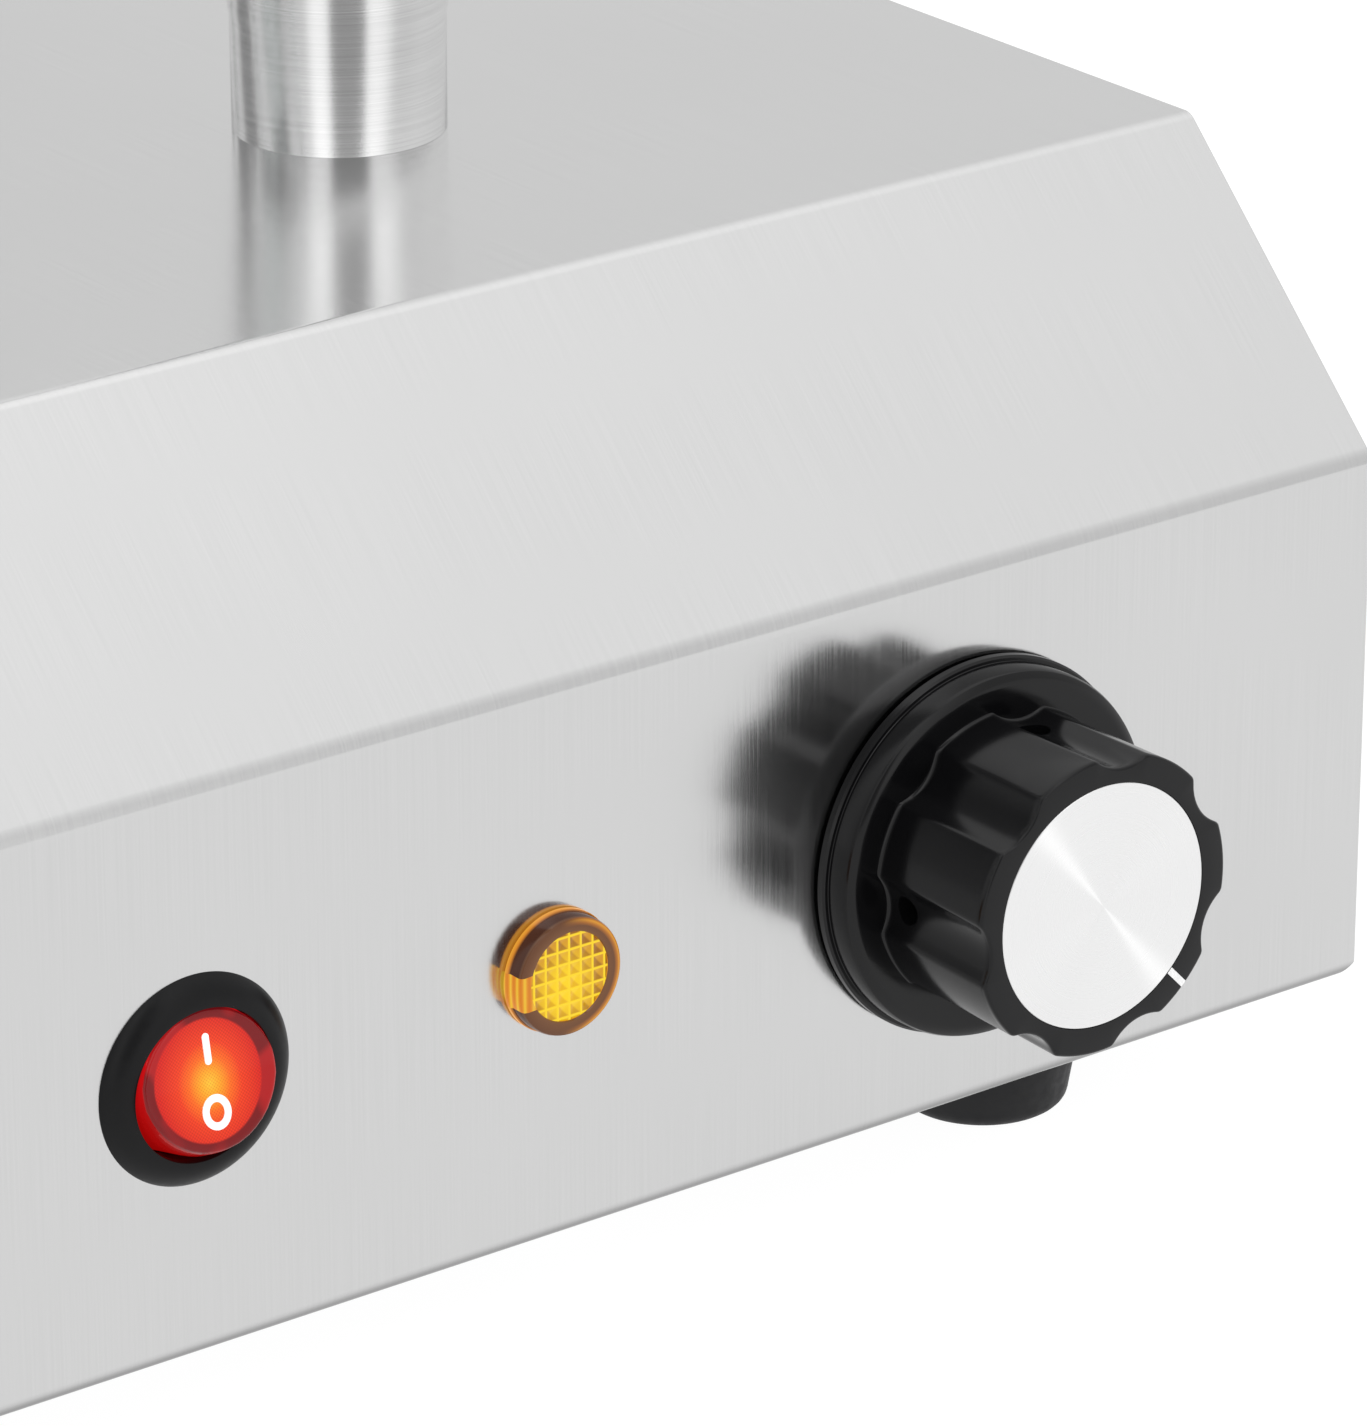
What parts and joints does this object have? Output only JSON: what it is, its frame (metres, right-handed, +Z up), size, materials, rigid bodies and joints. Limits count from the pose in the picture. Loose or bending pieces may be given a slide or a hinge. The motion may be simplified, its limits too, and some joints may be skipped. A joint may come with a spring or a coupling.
{
  "type": "hot dog steamer with heated spikes",
  "caption": "Countertop sausage steamer and bun warmer: a folded steel body with heated upright spikes, a glass steam cylinder over a water pan, a lit rocker switch, pilot lamp and dial.",
  "frame": {"origin": "centre of the footprint box, at the level the feet stand on", "axes": "+X to the user's right along the front, +Y from the front panel to the back, +Z up"},
  "size_m": [0.49, 0.2996, 0.3853],
  "materials": {
    "brushed_steel": "fine straight grain",
    "zinc_steel": "satin",
    "foot_rubber": "matt",
    "spike_aluminium": "turned and polished",
    "heater_sheath": "satin",
    "switch_black": "satin",
    "rocker_red": "translucent, lit from inside",
    "mark_white": "printed",
    "terminal_brass": "satin",
    "lens_amber": "translucent, prismatic",
    "ceramic_white": "matt",
    "knob_black": "glossy",
    "disc_aluminium": "spun face",
    "copper": "satin",
    "cast_aluminium": "as cast",
    "gland_black": "moulded",
    "wire_red": "silicone insulation",
    "polished_steel": "polished",
    "silicone": "matt",
    "clear_glass": "clear"
  },
  "bodies": {
    "root": {"housing_shell": "brushed_steel", "left_end_panel": "brushed_steel", "right_end_panel": "brushed_steel", "bottom_plate": "zinc_steel", "bottom_screws": "zinc_steel", "foot_front_left": "foot_rubber", "foot_front_right": "foot_rubber", "foot_rear_left": "foot_rubber", "foot_rear_right": "foot_rubber", "foot_screws": "zinc_steel", "foot_nuts": "zinc_steel", "spike_front_left": "spike_aluminium", "spike_front_right": "spike_aluminium", "spike_rear_left": "spike_aluminium", "spike_rear_right": "spike_aluminium", "spike_washers": "zinc_steel", "spike_nuts": "zinc_steel", "heater_front_left": "heater_sheath", "heater_front_right": "heater_sheath", "heater_rear_left": "heater_sheath", "heater_rear_right": "heater_sheath", "switch_body": "switch_black", "switch_terminals": "terminal_brass", "pilot_lens": "lens_amber", "pilot_body": "ceramic_white", "pilot_clip": "zinc_steel", "thermostat_body": "switch_black", "thermostat_bracket": "zinc_steel", "thermostat_screws": "zinc_steel", "capillary_bulb": "copper", "bulb_clips": "zinc_steel", "pan_heater": "heater_sheath", "heater_plate": "cast_aluminium", "heater_bracket": "zinc_steel", "thermal_cutout": "ceramic_white", "gland_body": "gland_black", "gland_cap": "gland_black", "gland_locknut": "gland_black", "terminal_block": "ceramic_white", "terminal_screws": "terminal_brass", "earth_stud": "terminal_brass", "wiring_loom": "wire_red"},
    "rocker": {"rocker": "rocker_red", "rocker_marks": "mark_white"},
    "knob": {"knob": "knob_black", "knob_disc": "disc_aluminium", "knob_pointer": "mark_white", "knob_grub_screws": "zinc_steel", "thermostat_spindle": "zinc_steel"},
    "pan": {"water_pan": "polished_steel"},
    "tower": {"glass_seal": "silicone", "glass_cylinder": "clear_glass"},
    "basket": {"basket_floor": "polished_steel", "basket_hoops": "polished_steel", "basket_wires": "polished_steel", "basket_stem": "polished_steel", "basket_grip": "knob_black"},
    "lid": {"lid": "polished_steel", "lid_knob": "knob_black", "lid_screw": "zinc_steel"}
  },
  "joints": [
    {"name": "rocker_tilt", "type": "hinge", "parent": "root", "child": "rocker", "pos_m": [0.0776, -0.1252, 0.0443], "axis": [1, 0, 0], "range_deg": [0, 28]},
    {"name": "knob_turn", "type": "hinge", "parent": "root", "child": "knob", "pos_m": [0.1846, -0.1262, 0.0443], "axis": [0, -1, 0], "range_deg": [0, 270]},
    {"name": "pan_lift", "type": "slide", "parent": "root", "child": "pan", "axis": [0, 0, 1], "range_m": [0, 0.08]},
    {"name": "glass_lift", "type": "slide", "parent": "pan", "child": "tower", "axis": [0, 0, 1], "range_m": [0, 0.05]},
    {"name": "basket_lift", "type": "slide", "parent": "tower", "child": "basket", "axis": [0, 0, 1], "range_m": [0, 0.3]},
    {"name": "lid_lift", "type": "slide", "parent": "basket", "child": "lid", "axis": [0, 0, 1], "range_m": [0, 0.1]}
  ]
}
